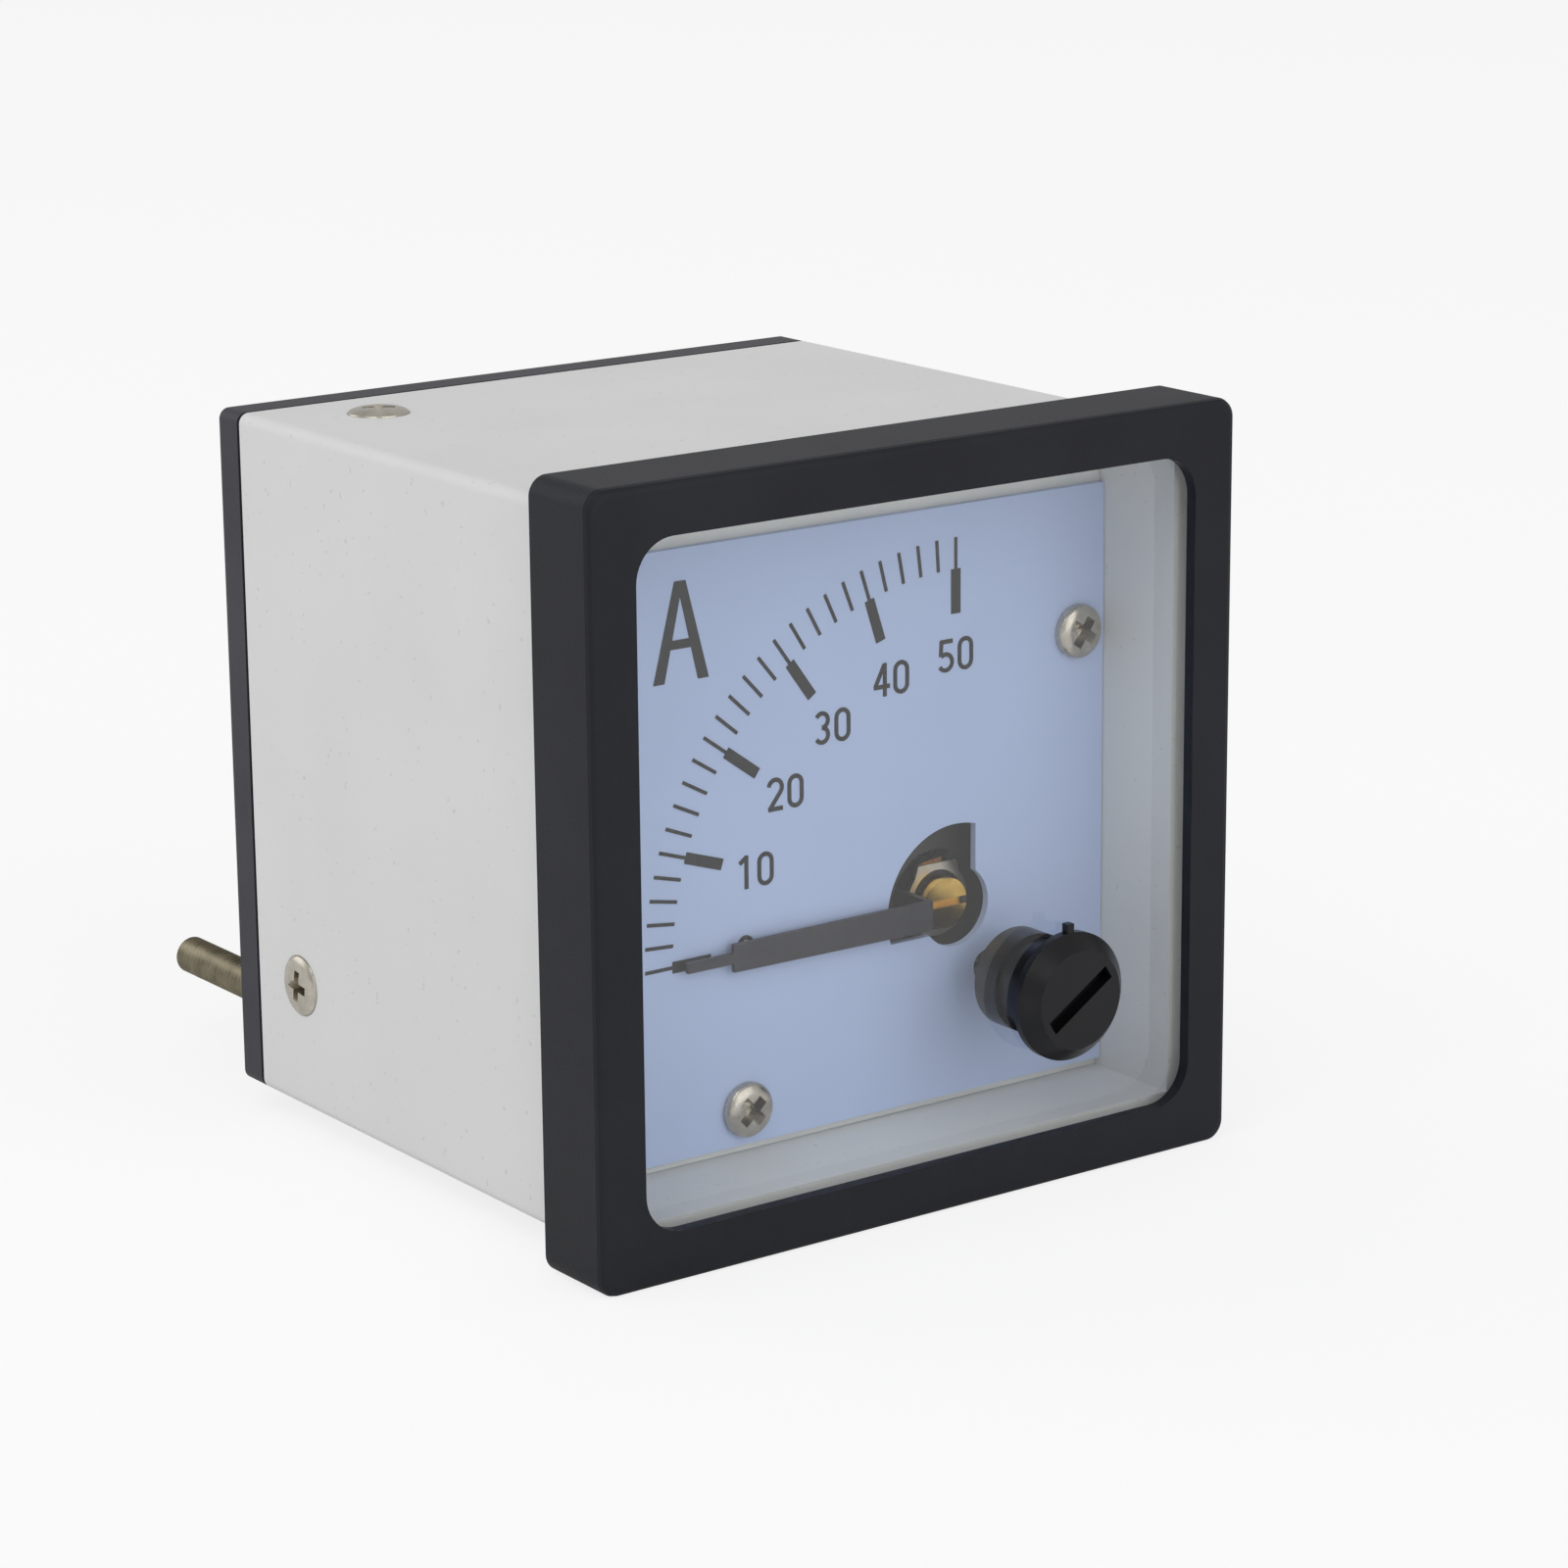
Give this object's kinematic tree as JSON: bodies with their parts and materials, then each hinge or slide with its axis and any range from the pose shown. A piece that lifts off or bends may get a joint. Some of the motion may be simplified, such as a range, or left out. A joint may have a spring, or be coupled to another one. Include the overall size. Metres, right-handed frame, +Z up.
{
  "type": "analog panel meter",
  "caption": "Square panel ammeter: black bezel, flat window, pale blue dial with a quarter-circle scale, moving-coil movement, zero adjuster and rear terminals.",
  "frame": {"origin": "centre of the panel cut-out on the plane where the back of the bezel seats on the panel", "axes": "+X to the right seen from the front, +Y to the rear along the housing, +Z up"},
  "size_m": [0.048, 0.0599, 0.048],
  "materials": {
    "black_plastic": "fine matte",
    "window": "clear, flat and smooth",
    "pale_plastic": "matte, slightly mottled",
    "dark_plastic": "matte",
    "white_plastic": "matte",
    "plated_steel": "dull zinc plating",
    "polished_steel": "polished",
    "dial_paint": "pale blue, flat",
    "print": "flat dark grey ink",
    "pointer_paint": "dark grey, satin",
    "soft_iron": "ground",
    "magnet": "ground",
    "brass": "turned",
    "tinned_brass": "tinned",
    "bronze": "bright strip",
    "nickel_plate": "bright nickel plating",
    "jewel": "polished",
    "aluminium": "bright sheet",
    "copper": "enamelled copper wire, lacquered",
    "shunt_alloy": "dull resistance alloy",
    "wire_cover": "smooth sleeve",
    "resistor_body": "lacquered"
  },
  "bodies": {
    "case": {"bezel_frame": "black_plastic", "window_glass": "window", "housing": "pale_plastic", "rear_cover": "dark_plastic", "side_screws": "plated_steel", "dial_plate": "dial_paint", "scale_marks": "print", "scale_numerals": "print", "unit_letter": "print", "dial_screws": "plated_steel", "movement_base": "white_plastic", "base_screws": "plated_steel", "yoke_ring": "soft_iron", "core_magnet": "magnet", "core_sleeve": "brass", "front_bridge": "black_plastic", "bridge_screws": "plated_steel", "front_jewel_screw": "brass", "front_jewel": "jewel", "rear_bridge": "black_plastic", "rear_bridge_screws": "plated_steel", "rear_jewel_screw": "brass", "rear_jewel": "jewel", "rear_spring_arm": "brass", "rear_hairspring": "bronze", "terminal_studs": "brass", "terminal_washers": "plated_steel", "spring_washers": "plated_steel", "terminal_nuts": "brass", "shunt_strip": "shunt_alloy", "solder_tags": "tinned_brass", "lead_wires": "wire_cover", "calibration_resistor": "resistor_body", "mounting_studs": "plated_steel", "stud_nuts": "plated_steel"},
    "moving_element": {"pointer": "pointer_paint", "hub_plate": "nickel_plate", "balance_cross": "nickel_plate", "balance_weights": "bronze", "coil_former": "aluminium", "coil_winding": "copper", "front_pivot": "polished_steel", "rear_pivot": "polished_steel"},
    "adjuster": {"zero_adjuster": "black_plastic"},
    "lever": {"zero_lever": "nickel_plate", "front_hairspring": "bronze"}
  },
  "joints": [
    {"name": "needle", "type": "hinge", "parent": "case", "child": "moving_element", "pos_m": [0.0088, 0.013, -0.0078], "axis": [0, 1, 0], "range_deg": [-2, 92], "stiffness_Nm_per_rad": 0.00002},
    {"name": "zero_knob", "type": "hinge", "parent": "case", "child": "adjuster", "pos_m": [0.0113, -0.004, -0.01215], "axis": [0, 1, 0], "range_deg": [-60, 60]},
    {"name": "zero_lever_turn", "type": "hinge", "parent": "case", "child": "lever", "pos_m": [0.0088, 0.0063, -0.0078], "axis": [0, 1, 0], "range_deg": [-7, 7]}
  ],
  "couplings": [
    {"joint": "zero_lever_turn", "follows": "zero_knob", "ratio": 0.0825}
  ]
}
